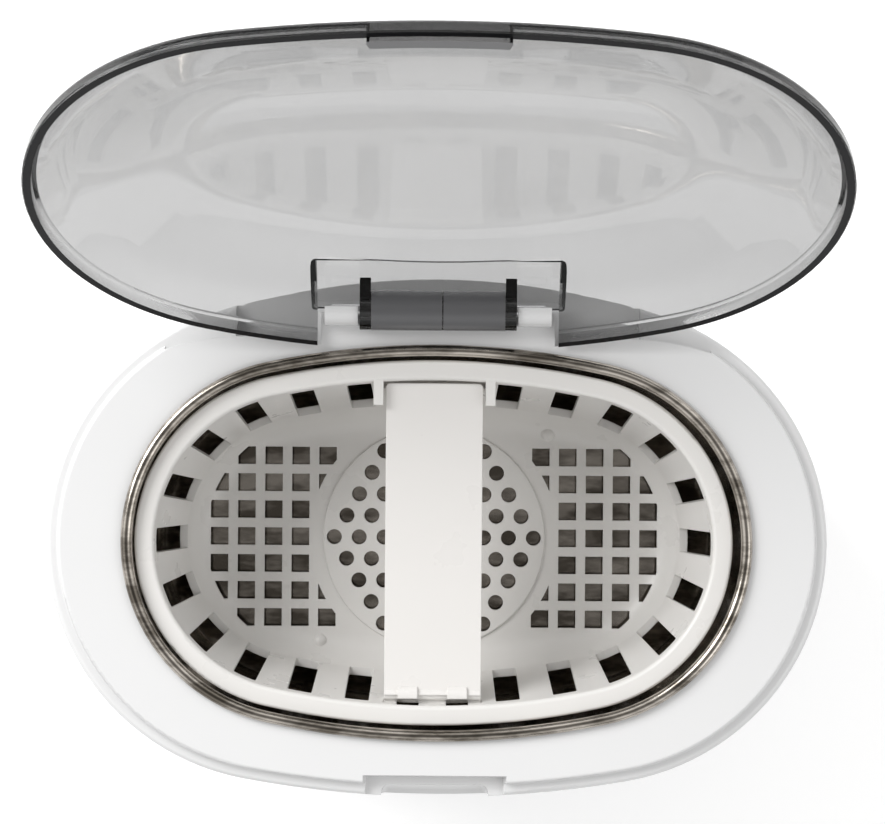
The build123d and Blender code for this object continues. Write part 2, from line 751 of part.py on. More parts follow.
def heat_sink():
    """A finned aluminium extrusion standing on the board's end."""
    plate = on_board(-79.5, 0.0, (2.5, 36.0, 26.0))
    fins = [on_board(-81.9, -17.0 + 6.8 * index, (3.2, 1.4, 26.0)) for index in range(6)]
    return fuse([plate, *fins])


def power_transistors():
    parts = []
    for y in (-9.0, 9.0):
        tab = on_board(-77.5, y, (1.3, 10.0, 16.0), 8.0)
        body = on_board(-75.3, y, (3.2, 10.0, 9.0), 8.0)
        legs = [on_board(-75.5, y + 2.54 * step, (0.6, 1.0, 8.4)) for step in (-1, 0, 1)]
        parts.append(fuse([tab, body, *legs]))
    return group(parts)


def glass_fuse():
    """A cartridge fuse: end caps on a tube, lying across the board."""
    y, z = -28.5, BOARD_TOP + 4.0
    tube = cylinder_along_x(2.2, -62.0, -44.0, y, z)
    caps = [cylinder_along_x(2.6, start, start + 5.0, y, z) for start in (-64.0, -47.0)]
    clips = [on_board(start + 2.5, y, (3.6, 2.4, 2.2)) for start in (-64.0, -47.0)]
    return fuse([tube, *caps, *clips])


def board_connectors():
    """Three plug headers, for the mains, the transducer and the control board."""
    headers = []
    for place, width, depth in (((-52.0, 28.5), 10.0, 6.0), ((-33.5, 5.0), 6.0, 7.5), (RIBBON_XY, 11.0, 5.6)):
        shell = on_board(*place, (width, depth, 7.0))
        pocket = on_board(*place, (width - 1.6, depth - 1.6, 7.0), 2.0)
        headers.append(shell - pocket)
    return group(headers)


def thermal_cutout():
    """The over-temperature switch held against the tank floor."""
    disc = cylinder_up(8.0, STACK_TOP_Z - 5.0, STACK_TOP_Z, 44.0, 0.0)
    disc = chamfer(disc.edges().group_by(Axis.Z)[0], 1.0)
    tags = [box((44.0 + side * 4 - 1.5, 44.0 + side * 4 + 1.5), (-0.3, 0.3), (STACK_TOP_Z - 11, STACK_TOP_Z - 4))
            for side in (-1, 1)]
    return fuse([disc, *tags])


# ------------------------------------------------------------------ control panel
def control_panel():
    """The grey fascia let into the front wall."""
    plate = front_prism(rounded_plate(PANEL_SIZE, PANEL_CORNER - 0.1, z=PANEL_Z))
    plate = plate & drafted_wall(-PANEL_PROUD, PANEL_SEAT)
    window = front_prism(rounded_plate((WINDOW_SIZE[0] + 0.1, WINDOW_SIZE[1] + 0.1), 3.0, z=WINDOW_Z))
    holes = [cylinder_along_y(BUTTON_RADIUS + FIT, -80, -50, x, BUTTON_Z) for x in BUTTON_X.values()]
    return plate.cut(window, *holes)


def display_window():
    """The dark lens over the display, flush with the fascia."""
    lens = front_prism(rounded_plate(WINDOW_SIZE, 2.95, z=WINDOW_Z))
    return lens & drafted_wall(-PANEL_PROUD + 0.1, PANEL_SEAT)


def button(x):
    """A push cap with a retaining flange behind the wall and a stem to its switch."""
    face_y = -body_wall_y(x, BUTTON_Z) - BUTTON_PROUD
    cap = cylinder_along_y(BUTTON_RADIUS, face_y, BUTTON_REAR, x, BUTTON_Z)
    front_edge = cap.edges().filter_by(GeomType.CIRCLE).group_by(Axis.Y)[0]
    cap = fillet(front_edge, 0.8)
    flange = cylinder_along_y(BUTTON_FLANGE_RADIUS, BUTTON_FLANGE_FRONT, BUTTON_REAR, x, BUTTON_Z)
    return cap + flange


def control_board():
    width, height = 84.0, 45.0
    board = box((-width / 2, width / 2), (CONTROL_FRONT_Y, CONTROL_FRONT_Y + 1.6),
                (PANEL_Z - height / 2, PANEL_Z + height / 2))
    board = fillet(board.edges().filter_by(Axis.Y), 2.0)
    holes = [cylinder_along_y(1.2, CONTROL_FRONT_Y - 1, CONTROL_FRONT_Y + 3, x, z)
             for x in CONTROL_POST_X for z in CONTROL_POST_Z]
    return board.cut(*holes)


def control_screws():
    screws = []
    for x in CONTROL_POST_X:
        for z in CONTROL_POST_Z:
            back = CONTROL_FRONT_Y + 1.6
            head = cylinder_along_y(2.0, back, back + 1.5, x, z)
            screws.append(head + cylinder_along_y(1.0, back - 5, back + 0.5, x, z))
    return group(screws)


def display_module():
    """The numeric display block soldered to the control board."""
    block = box((-18.0, 18.0), (-63.7, CONTROL_FRONT_Y), (WINDOW_Z - 6.5, WINDOW_Z + 6.5))
    return block


def tact_switches():
    switches = []
    for x in BUTTON_X.values():
        case = box((x - 3, x + 3), (SWITCH_TIP_Y + 1.0, CONTROL_FRONT_Y), (BUTTON_Z - 3, BUTTON_Z + 3))
        switches.append(case + cylinder_along_y(1.7, SWITCH_TIP_Y, SWITCH_TIP_Y + 2, x, BUTTON_Z))
    return group(switches)


# ------------------------------------------------------------------ power inlet
def power_inlet():
    """The figure-eight inlet: flange, body and mouth."""
    seat_y = INLET_FACE_Y - INLET_FLANGE[2]
    flange = box((-INLET_FLANGE[0] / 2, INLET_FLANGE[0] / 2), (seat_y, INLET_FACE_Y),
                 (INLET_Z - INLET_FLANGE[1] / 2, INLET_Z + INLET_FLANGE[1] / 2))
    flange = fillet(flange.edges().filter_by(Axis.Y), 2.5)
    body = box((-INLET_BODY[0] / 2, INLET_BODY[0] / 2), (seat_y - INLET_BODY[2], seat_y),
               (INLET_Z - INLET_BODY[1] / 2, INLET_Z + INLET_BODY[1] / 2))
    plane = Plane(origin=(0, INLET_FACE_Y + 1, INLET_Z), x_dir=(-1, 0, 0), z_dir=(0, 1, 0))
    waist = INLET_MOUTH[0] / 2 - INLET_MOUTH[1] / 2
    rounds = [Pos(side * waist, 0) * Circle(INLET_MOUTH[1] / 2) for side in (-1, 1)]
    bridge = Rectangle(2 * waist, INLET_MOUTH[1] - 1.6)
    mouth = extrude(plane * (rounds[0] + rounds[1] + bridge), -INLET_MOUTH[2] - 1)
    return (flange + body).cut(mouth, *[pin_along_y(side, 0.02) for side in (-1, 1)])


def pin_along_y(side, play=0.0):
    x = side * INLET_PIN_SPACING / 2
    start = INLET_FACE_Y - INLET_MOUTH[2] - INLET_BODY[2] + 2
    return cylinder_along_y(INLET_PIN_RADIUS + play, start, INLET_FACE_Y - 1.2, x, INLET_Z)


def inlet_pins():
    pins = []
    for side in (-1, 1):
        pin = pin_along_y(side)
        pins.append(fillet(pin.edges().filter_by(GeomType.CIRCLE).group_by(Axis.Y)[-1], 0.7))
    return group(pins)


# ------------------------------------------------------------------ internal leads
def lead(radius, points, bends):
    """A round lead along straight runs with tangent arcs at its corners."""
    path = FilletPolyline(*points, radius=bends)
    start = Plane(origin=path @ 0, z_dir=path % 0)
    return sweep(start * Circle(radius), path=path)


def mains_leads():
    """Two wires from the inlet's pins to the mains header."""
    back = INLET_FACE_Y - INLET_MOUTH[2] - INLET_BODY[2] + 1.9
    wires = []
    for side in (-1, 1):
        x = side * INLET_PIN_SPACING / 2
        end_x = -52.0 + 1.8 * side
        end_y = 28.5
        top = BOARD_TOP + 15 + 3 * side
        wires.append(
            lead(
                0.9,
                [
                    (x, back, INLET_Z),
                    (x, back - 9 - 2 * side, INLET_Z),
                    (end_x, end_y, top),
                    (end_x, end_y, BOARD_TOP + 2.1),
                ],
                [4.0, 4.0],
            )
        )
    return group(wires)


def transducer_leads():
    """Two wires from the transducer header to the electrode tags."""
    wires = []
    for side, level in ((-1, 1), (1, 2)):
        tag_z = ELECTRODE_Z[level] - ELECTRODE
        y = 5.0 + 1.8 * side
        end_x = -(STACK_RADIUS + 5.0) if level == 1 else STACK_RADIUS + 5.0
        if level == 1:
            points = [
                (-33.5, y, BOARD_TOP + 2.1),
                (-33.5, y, tag_z - 8),
                (end_x, 0, tag_z - 8),
                (end_x, 0, tag_z - 0.1),
            ]
            bends = [4.0, 3.0]
        else:
            points = [
                (-33.5, y, BOARD_TOP + 2.1),
                (-33.5, y, 25.5),
                (-22.0, 27.0, 25.5),
                (16.0, 27.0, 20.0),
                (end_x, 0, 12.0),
                (end_x, 0, tag_z - 0.1),
            ]
            bends = [4.0, 8.0, 8.0, 4.0]
        wires.append(lead(0.9, points, bends))
    return group(wires)


def control_ribbon():
    """The flat ribbon from the driver board up to the control board."""
    x, y = RIBBON_XY
    top_y = CONTROL_FRONT_Y + 1.7
    path = FilletPolyline((x, y, BOARD_TOP + 2.1), (x, y, 30.0), (x, top_y + 5.0, 36.0), (x, top_y + 5.0, 62.0),
                          (x, top_y, 62.0), radius=[6.0, 3.0, 2.5])
    start = Plane(origin=path @ 0, x_dir=(1, 0, 0), z_dir=path % 0)
    return sweep(start * Rectangle(9.0, 0.8), path=path)


# ------------------------------------------------------------------ lid
def lid_dome():
    """The closed lid's shell before its hinge details, with the rim's lower edge at height 0."""
    outer = oval_solid(BODY, [(LID_CORE_INSET, 0, 0), (0.35, 0, 0), (0, 0.35, 0), *LID_OUTLINE])
    roof = offset_corners(LID_OUTLINE, LID_WALL)
    slope = (roof[1][1] - roof[0][1]) / (roof[1][0] - roof[0][0])
    lip_top = roof[0][1] + slope * (RIM_LIP_INSET - roof[0][0])
    inner = oval_solid(
        BODY,
        [
            (LID_CORE_INSET, -OVERLAP, 0),
            (RIM_BAND, -OVERLAP, 0),
            (RIM_BAND, RIM_LIP_Z, 0),
            (RIM_LIP_INSET, RIM_LIP_Z, 0),
            (RIM_LIP_INSET, lip_top, 0),
            roof[1],
            roof[2],
            (LID_CORE_INSET, roof[3][1], 0),
        ],
    )
    return outer, inner


def lid_hood():
    """The box over the hinge at the back of the lid, outside and inside."""
    outer = box((-HOOD_HALF, HOOD_HALF), (HOOD_FRONT_Y, HOOD_BACK_Y), (NOTCH_Z, HOOD_Z))
    outer = fillet(outer.edges().group_by(Axis.Z)[-1] + outer.edges().filter_by(Axis.Z), 1.6)
    inner = box((-NOTCH_HALF, NOTCH_HALF), (HOOD_CORE_Y, HOOD_BACK_Y - HOOD_WALL), (-OVERLAP, HOOD_Z - HOOD_WALL))
    notch = box((-NOTCH_HALF, NOTCH_HALF), (HINGE_Y - 6, 80), (-OVERLAP, NOTCH_Z))
    return outer, [inner, notch]


def lid_arms():
    """The barrel that turns on the pin, and the plates and web that tie it to the hood."""
    roof = HOOD_Z - HOOD_WALL - HINGE_UP + 0.6
    wall = HOOD_BACK_Y - HOOD_WALL - HINGE_Y + 0.6
    parts = [cylinder_along_x(BARREL_RADIUS, -ARM_X[1], ARM_X[1], HINGE_Y, HINGE_UP)]
    plate = make_face(
        FilletPolyline(
            (HINGE_Y - BARREL_RADIUS, HINGE_UP),
            (HINGE_Y + ARM_FRONT, HINGE_UP + roof),
            (HINGE_Y + wall, HINGE_UP + roof),
            (HINGE_Y + wall, HINGE_UP + NOTCH_Z - HINGE_UP),
            (HINGE_Y + 3.0, HINGE_UP + 2.0),
            radius=[0, 0, 0, 0, 0],
            close=True,
        )
    )
    parts += [slab_along_x(span, plate) for span in mirrored_x(ARM_X)]
    web = make_face(Polyline((HINGE_Y + 2.4, HINGE_UP + 3.4), (HINGE_Y + 4.8, HINGE_UP + 3.3),
                             (HINGE_Y + 5.8, HINGE_UP + 4.4), (HINGE_Y + 5.2, HINGE_UP + 6.0),
                             (HINGE_Y + 3.6, HINGE_UP + 6.0), close=True))
    parts.append(slab_along_x((-ARM_X[0] - 0.5, ARM_X[0] + 0.5), web))
    return parts


def grip_pad():
    """The grip tab that hangs a little below the front of the rim, with bevelled ends."""
    near, far = GRIP_INSETS
    low, near_top, far_top = GRIP_HEIGHTS
    band = sweep_round(BODY, section([(near, low, 0), (near, near_top, 0), (far + 0.4, far_top, 0), (far, low, 0)]))
    front = -BODY.front_width
    bevel = make_face(Polyline((-GRIP_HALF, front - 1), (GRIP_HALF, front - 1), (GRIP_HALF, front + RIM_LIP_INSET),
                               (GRIP_HALF - 2.5, front + 9), (-GRIP_HALF + 2.5, front + 9),
                               (-GRIP_HALF, front + RIM_LIP_INSET), close=True))
    return band & extrude(Pos(0, 0, low - OVERLAP) * bevel, 20)


def lid():
    """The smoke-grey lid, drawn closed and then turned to its open rest."""
    dome_outer, dome_inner = lid_dome()
    hood_outer, hood_cuts = lid_hood()
    shell = fuse([dome_outer, hood_outer]).cut(dome_inner, *hood_cuts)
    bore = cylinder_along_x(PIN_RADIUS + PIN_PLAY, -ARM_X[1] - 1, ARM_X[1] + 1, HINGE_Y, HINGE_UP)
    shell = fuse([shell, *lid_arms(), grip_pad()]) - bore
    closed = Pos(0, 0, RIM_Z) * shell
    hinge = Axis((0, HINGE_Y, HINGE_Z), (1, 0, 0))
    return closed.rotate(hinge, -OPEN_ANGLE)


# ------------------------------------------------------------------ basket
def basket_bowl():
    """Flange, leaning wall and floor as one even-walled moulding."""
    lip = FLANGE_WIDTH
    floor_inset = lip + BASKET_RUN
    outer = oval_solid(
        BASKET,
        [
            (CORE_INSET, BASKET_FLOOR_Z - BASKET_WALL, 0),
            (floor_inset - BASKET_WALL, BASKET_FLOOR_Z - BASKET_WALL, BASKET_FILLET + BASKET_WALL),
            (lip - BASKET_WALL, FLANGE_Z - FLANGE_THICK, 1.0),
            (0, FLANGE_Z - FLANGE_THICK, 0.4),
            (0, FLANGE_Z, 0.8),
            (CORE_INSET, FLANGE_Z, 0),
        ],
    )
    inner = oval_solid(
        BASKET,
        [
            (CORE_INSET, BASKET_FLOOR_Z, 0),
            (floor_inset, BASKET_FLOOR_Z, BASKET_FILLET),
            (lip, FLANGE_Z, 0),
            (lip, FLANGE_Z + OVERLAP, 0),
            (CORE_INSET, FLANGE_Z + OVERLAP, 0),
        ],
    )
    bowl = outer - inner
    rim = BASKET.inset(FLANGE_WIDTH).half_length
    top_edges = bowl.edges().filter_by_position(Axis.Z, FLANGE_Z - 0.01, FLANGE_Z + 0.01)
    inner_edges = [edge for edge in top_edges if edge.bounding_box().max.X < rim + 0.01]
    return fillet(inner_edges, 1.2)


def wall_slots():
    """Tall slots round the wall, evenly spaced along each half from the middle."""
    path_oval = BASKET.inset(FLANGE_WIDTH)
    slots = []
    for x, y, angle in slot_places(path_oval):
        for side in (-1, 1):
            turn = angle if side > 0 else 180 - angle
            cutter = box((-12.0, 4.0), (-SLOT_WIDTH / 2, SLOT_WIDTH / 2),
                         (FLANGE_Z - SLOT_TOP - SLOT_TALL, FLANGE_Z - SLOT_TOP))
            cutter = fillet(cutter.edges().filter_by(Axis.X), 0.6)
            slots.append(Pos(side * x, y, 0) * Rot(0, 0, turn) * cutter)
    return slots


def slot_places(oval):
    """Evenly spaced points down the right half of an oval, with their outward directions."""
    side_radius, side_centre, half_angle = oval.side_arc(oval.half_width)
    side_half = radians(half_angle)
    first = SLOT_FIRST_X / side_radius
    side_length = (side_half - first) * side_radius
    end_half = radians(90) - side_half
    half_path = side_length + end_half * oval.end_radius
    places = []
    for index in range(SLOTS_PER_HALF):
        travel = 2 * half_path * index / (SLOTS_PER_HALF - 1)
        mirror = 1 if travel <= half_path + 1e-6 else -1
        run = travel if mirror > 0 else 2 * half_path - travel
        if run <= side_length:
            angle = radians(90) - first - run / side_radius
            point = (side_radius * cos(angle), side_radius * sin(angle) - side_centre)
        else:
            angle = end_half - (run - side_length) / oval.end_radius
            point = (oval.end_centre + oval.end_radius * cos(angle), oval.end_radius * sin(angle))
        places.append((point[0], mirror * point[1], mirror * degrees(angle)))
    return places


def floor_grid():
    """Square drain holes in the floor's two ends, clipped to the floor's oval and clear of the disc."""
    squares = []
    for column in range(5):
        for row in range(-3, 4):
            for side in (-1, 1):
                x = side * (GRID_FIRST_X + column * GRID_PITCH)
                squares.append(Pos(x, row * GRID_PITCH) * Rectangle(GRID_HOLE, GRID_HOLE))
    region = GRID_OVAL.face() - Circle(GRID_CLEAR_RADIUS)
    holes = []
    for square in squares:
        kept = square & region
        faces = kept.faces() if kept else []
        holes += [face for face in faces if face.area > 2.0]
    return [extrude(Pos(0, 0, BASKET_FLOOR_Z - 5) * face, 10) for face in holes]


def floor_dots():
    """Round holes in a hexagon of nine across."""
    across = 5
    dots = []
    for row in range(1 - across, across):
        count = 2 * across - 1 - abs(row)
        for index in range(count):
            x = (index - (count - 1) / 2) * DOT_PITCH
            y = row * DOT_PITCH * cos(radians(30))
            dots.append(cylinder_up(DOT_RADIUS, BASKET_FLOOR_Z - 5, BASKET_FLOOR_Z + 5, x, y))
    return dots


def basket_hinge():
    """The bar across the front of the basket and the three lugs that carry it from below."""
    bar = cylinder_along_x(BAR_RADIUS, -STRAP_HALF, STRAP_HALF, BAR_Y, BAR_Z)
    wall = -BASKET.half_width + FLANGE_WIDTH - 0.6
    lug = make_face(
        Polyline(
            (wall, BAR_Z - 0.2),
            (BAR_Y + 1.0, BAR_Z - 0.2),
            (BAR_Y + 1.0, BAR_Z - BAR_RADIUS),
            (wall + 1.2, BAR_Z - 8.0),
            close=True,
        )
    )
    spans = [(-KNUCKLE_X[0] + FIT, KNUCKLE_X[0] - FIT), *mirrored_x((KNUCKLE_X[1] + FIT, STRAP_HALF))]
    return [bar, *[slab_along_x(span, lug) for span in spans]]


def basket_posts():
    """The two uprights at the back that the handle's free end drops between."""
    wall = BASKET.half_width - 2.4
    return [box(span, (POST_REACH_Y, wall), (FLANGE_Z - 13.0, FLANGE_Z - 0.4)) for span in mirrored_x(POST_X)]


def centre_disc():
    disc = cylinder_up(DISC_RADIUS, BASKET_FLOOR_Z - OVERLAP, BASKET_FLOOR_Z + DISC_RISE)
    return fillet(disc.edges().group_by(Axis.Z)[-1], 0.4)


def basket_feet():
    """Four stub feet that stand the basket just off the tank floor."""
    x, y = FOOT_STUB
    low, high = TANK_FLOOR_Z + FIT, BASKET_FLOOR_Z - OVERLAP
    return [cylinder_up(2.6, low, high, side * x, end * y) for side in (-1, 1) for end in (-1, 1)]


def basket_nubs():
    """Two domed nubs on the floor."""
    nubs = []
    for x, y in NUB_PLACES:
        dome = Pos(x, y, BASKET_FLOOR_Z - 0.6) * Sphere(NUB_RADIUS)
        nubs.append(dome & cylinder_up(2 * NUB_RADIUS, BASKET_FLOOR_Z - OVERLAP, BASKET_FLOOR_Z + NUB_RADIUS, x, y))
    return nubs


def basket_openings():
    """The window behind the handle's free end, and the slots and scallop its bead turns in."""
    back = BASKET.half_width - 1.5
    high = FLANGE_Z - FLANGE_THICK
    window = box((-POST_X[0], POST_X[0]), (POST_REACH_Y, back), (high - WINDOW_TALL, high))
    spans = [(span[0] - FIT, span[1] + FIT) for span in mirrored_x(KNUCKLE_X)]
    front = -BASKET.half_width + 3.2
    slots = [box(span, (front, BAR_Y), (BAR_Z - 8.0, FLANGE_Z - 1.2)) for span in spans]
    scallop = cylinder_along_x(BEAD_ROUND + FIT, -STRAP_HALF - FIT, STRAP_HALF + FIT, BAR_Y, BAR_Z)
    return [window, scallop, *slots]


def basket():
    """The lift-out basket."""
    bowl = fuse([basket_bowl(), centre_disc()])
    bowl = bowl.cut(*basket_openings(), *wall_slots(), *floor_grid(), *floor_dots())
    shell = fuse([bowl, *basket_feet(), *basket_nubs(), *basket_hinge(), *basket_posts()])
    return Pos(BASKET_SHIFT_X, 0, 0) * shell


def basket_handle():
    """The flip-up strap that clips over the basket's front bar."""
    across = (-STRAP_HALF, STRAP_HALF)
    low = STRAP_Z - STRAP_THICK
    bore_radius = BAR_RADIUS + BAR_PLAY
    strap = box(across, (BAR_Y, STRAP_BACK_Y), (low, STRAP_Z))
    strap = fillet(strap.edges().filter_by(Axis.Z).group_by(Axis.Y)[-1], 1.0)
    lips = [box(span, (BAR_Y + 4, STRAP_BACK_Y - 4), (low - STRAP_LIP, low + 0.2))
            for span in mirrored_x((STRAP_HALF - 1.5, STRAP_HALF))]
    bead = cylinder_along_x(BEAD_ROUND, *across, BAR_Y, BAR_Z)
    under = box(across, (BAR_Y - 5, BAR_Y + 1.8), (BAR_Z - 5, BAR_Z + 0.1))
    ahead = box(across, (BAR_Y - 5, BAR_Y), (BAR_Z - 5, BAR_Z + 5))
    strap = fuse([strap, *lips, bead]).cut(under, ahead)
    knuckles = [cylinder_along_x(KNUCKLE_RADIUS, *span, BAR_Y, BAR_Z) for span in mirrored_x(KNUCKLE_X)]
    handle = fuse([strap, *knuckles])
    bore = cylinder_along_x(bore_radius, *across, BAR_Y, BAR_Z)
    mouth = box(across, (BAR_Y - 5, BAR_Y - KNUCKLE_MOUTH), (BAR_Z - 5, BAR_Z + 5))
    return Pos(BASKET_SHIFT_X, 0, 0) * handle.cut(bore, mouth)


# ------------------------------------------------------------------ write every sub-part
def build_all():
    parts = {
        "top_housing": top_housing,
        "base_cover": base_cover,
        "rubber_feet": rubber_feet,
        "base_screws": base_screws,
        "hinge_pin": hinge_pin,
        "tank": tank,
        "tank_gasket": tank_gasket,
        "transducer_horn": transducer_horn,
        "piezo_rings": piezo_rings,
        "electrodes": electrodes,
        "transducer_back_mass": transducer_back_mass,
        "transducer_bolt": transducer_bolt,
        "thermal_cutout": thermal_cutout,
        "driver_board": driver_board,
        "board_screws": board_screws,
        "transformer_core": transformer_core,
        "transformer_winding": transformer_winding,
        "output_inductor": output_inductor,
        "main_capacitor": main_capacitor,
        "film_capacitors": film_capacitors,
        "heat_sink": heat_sink,
        "power_transistors": power_transistors,
        "glass_fuse": glass_fuse,
        "board_connectors": board_connectors,
        "control_panel": control_panel,
        "display_window": display_window,
        "control_board": control_board,
        "control_screws": control_screws,
        "display_module": display_module,
        "tact_switches": tact_switches,
        "power_inlet": power_inlet,
        "inlet_pins": inlet_pins,
        "mains_leads": mains_leads,
        "transducer_leads": transducer_leads,
        "control_ribbon": control_ribbon,
        "lid": lid,
        "basket": basket,
        "basket_handle": basket_handle,
    }
    os.makedirs("parts", exist_ok=True)
    for name, make in parts.items():
        export_step(make(), f"parts/{name}.step")
    for name, x in BUTTON_X.items():
        export_step(button(x), f"parts/{name}.step")


build_all()
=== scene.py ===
import json
from math import cos, inf, radians, sin

import bmesh
import bpy
from mathutils import Matrix, Vector


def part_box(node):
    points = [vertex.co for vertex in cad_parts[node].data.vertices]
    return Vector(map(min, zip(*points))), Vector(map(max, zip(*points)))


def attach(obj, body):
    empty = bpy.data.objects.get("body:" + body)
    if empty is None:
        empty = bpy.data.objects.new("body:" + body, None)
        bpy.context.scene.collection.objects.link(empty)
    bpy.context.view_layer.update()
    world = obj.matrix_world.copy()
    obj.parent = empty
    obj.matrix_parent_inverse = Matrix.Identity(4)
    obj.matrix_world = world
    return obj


# The looks of an oval ultrasonic jewellery cleaner, standing open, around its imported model.
# Metres. +X is the right end, -Y the front, +Z up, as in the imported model.

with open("model.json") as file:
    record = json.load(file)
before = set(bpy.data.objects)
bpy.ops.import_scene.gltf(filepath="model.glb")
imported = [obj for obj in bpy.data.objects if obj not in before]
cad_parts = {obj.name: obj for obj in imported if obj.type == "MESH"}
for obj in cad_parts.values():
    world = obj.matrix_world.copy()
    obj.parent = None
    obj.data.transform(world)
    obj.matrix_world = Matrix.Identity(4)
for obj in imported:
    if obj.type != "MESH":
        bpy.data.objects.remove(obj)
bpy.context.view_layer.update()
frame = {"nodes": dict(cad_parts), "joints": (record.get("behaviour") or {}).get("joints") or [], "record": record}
nodes = frame["nodes"]
lid_hinge = next(joint for joint in frame["joints"] if joint["name"] == "lid_hinge")
MM = 0.001


# ------------------------------------------------------------------ building materials
class Look:
    """A Principled material whose inputs are driven by procedural patterns in the piece's own space."""

    def __init__(self, name):
        self.material = bpy.data.materials.new(name)
        self.material.use_nodes = True
        self.tree = self.material.node_tree
        self.shader = self.tree.nodes["Principled BSDF"]
        self.output = self.tree.nodes["Material Output"]
        self.coords = self.node("ShaderNodeTexCoord").outputs["Object"]

    def node(self, kind, **settings):
        made = self.tree.nodes.new(kind)
        for key, value in settings.items():
            setattr(made, key, value)
        return made

    def link(self, source, target):
        self.tree.links.new(source, target)

    def constant(self, **values):
        """Set sockets of the shader itself; underscores in a name stand for spaces."""
        for key, value in values.items():
            self.shader.inputs[key.replace("_", " ")].default_value = value

    def stretched(self, stretch):
        mapping = self.node("ShaderNodeMapping")
        mapping.inputs["Scale"].default_value = stretch
        self.link(self.coords, mapping.inputs["Vector"])
        return mapping.outputs["Vector"]

    def noise(self, scale, detail=3.0, stretch=(1, 1, 1), roughness=0.55):
        made = self.node("ShaderNodeTexNoise")
        made.inputs["Scale"].default_value = scale
        made.inputs["Detail"].default_value = detail
        made.inputs["Roughness"].default_value = roughness
        self.link(self.stretched(stretch), made.inputs["Vector"])
        return made.outputs["Fac"]

    def spread(self, factor, low, high, start=0.3, end=0.7):
        """Map a pattern's middle range onto low to high."""
        made = self.node("ShaderNodeMapRange")
        self.link(factor, made.inputs["Value"])
        for key, value in (("From Min", start), ("From Max", end), ("To Min", low), ("To Max", high)):
            made.inputs[key].default_value = value
        return made.outputs["Result"]

    def blend(self, factor, first, second):
        """Mix two colours, each given as a colour or as a socket."""
        made = self.node("ShaderNodeMix", data_type="RGBA")
        self.link(factor, made.inputs["Factor"])
        for name, value in (("A", first), ("B", second)):
            socket = next(s for s in made.inputs if s.name == name and s.type == "RGBA")
            if isinstance(value, bpy.types.NodeSocket):
                self.link(value, socket)
            else:
                socket.default_value = (*value, 1.0)
        return next(s for s in made.outputs if s.type == "RGBA")

    def relief(self, heights, edge=None):
        """Bump from (pattern, depth) pairs, over softly rounded edges where edge gives their radius."""
        normal = None
        if edge:
            made = self.node("ShaderNodeBevel", samples=4)
            made.inputs["Radius"].default_value = edge
            normal = made.outputs["Normal"]
        for pattern, depth in heights:
            made = self.node("ShaderNodeBump")
            made.inputs["Strength"].default_value = 1.0
            made.inputs["Distance"].default_value = depth
            self.link(pattern, made.inputs["Height"])
            if normal:
                self.link(normal, made.inputs["Normal"])
            normal = made.outputs["Normal"]
        self.link(normal, self.shader.inputs["Normal"])

    def colour(self, socket):
        self.link(socket, self.shader.inputs["Base Color"])

    def roughness(self, socket):
        self.link(socket, self.shader.inputs["Roughness"])

    def see_through(self, ior, density):
        """Let light pass, tinted neutral grey through the piece's depth."""
        self.constant(IOR=ior, Transmission_Weight=1.0)
        absorption = self.node("ShaderNodeVolumeAbsorption")
        absorption.inputs["Color"].default_value = (0.5, 0.5, 0.5, 1.0)
        absorption.inputs["Density"].default_value = density
        self.link(absorption.outputs["Volume"], self.output.inputs["Volume"])


def darker(colour, share):
    return tuple(channel * share for channel in colour)


PLASTIC_IOR = 1.49
GLASS_IOR = 1.5


def moulded(name, colour, rough, mottle=0.97, grain=0.006 * MM, edge=0.35 * MM, coat=0.0):
    """Injection-moulded plastic: faint mottling, fine surface grain and slightly uneven gloss."""
    look = Look(name)
    look.colour(look.blend(look.spread(look.noise(14), 0, 1), darker(colour, mottle), colour))
    look.roughness(look.spread(look.noise(60, 4), rough * 0.85, rough * 1.2))
    look.relief([(look.noise(2600, 2), grain), (look.noise(45, 2), 2 * grain)], edge)
    look.constant(IOR=PLASTIC_IOR, Coat_Weight=coat, Coat_Roughness=0.06)
    return look


def metal(name, colour, rough, stretch=(1, 1, 1), scale=900, mottle=0.9, grain=0.003 * MM, edge=0.15 * MM):
    """Metal with brushing or grain along the axes that stretch makes long."""
    look = Look(name)
    brushing = look.noise(scale, 5, stretch)
    look.colour(look.blend(look.spread(look.noise(30), 0, 1), darker(colour, mottle), colour))
    look.roughness(look.spread(brushing, rough * 0.7, rough * 1.35))
    look.relief([(brushing, grain)], edge)
    look.constant(Metallic=1.0)
    return look


# ------------------------------------------------------------------ the object's materials
def smoke_plastic():
    """Clear smoke-grey plastic, tinted in depth: thin walls look light and the thick rim and arms dark."""
    look = Look("smoke_grey_clear_plastic")
    look.colour(look.blend(look.spread(look.noise(20), 0, 1), (0.93, 0.93, 0.93), (0.97, 0.97, 0.97)))
    look.roughness(look.spread(look.noise(35, 5), 0.015, 0.045))
    look.relief([(look.noise(70, 2), 0.01 * MM)])
    look.see_through(PLASTIC_IOR, 700.0)
    return look


def steel_with_painted_reflection():
    """The tank's stainless sheet: brushed, with broad uneven dark brown bands of painted reflection standing in
    for the dark basket walls and cavity that the steel mirrors.
    """
    look = metal("stainless_painted_reflection", (0.5, 0.465, 0.42), 0.14, (1, 1, 0.06), 700, 0.88)
    # Painted reflection: broad bands swing the steel's colour between dark brown and pale, in place of the dark
    # surroundings it reflects.
    painted_reflection_bands = look.noise(75, 4, (0.5, 1.6, 1.0), 0.7)
    look.colour(look.blend(look.spread(painted_reflection_bands, 0, 1, 0.4, 0.6), (0.17, 0.15, 0.125), (0.56, 0.515, 0.46)))
    return look


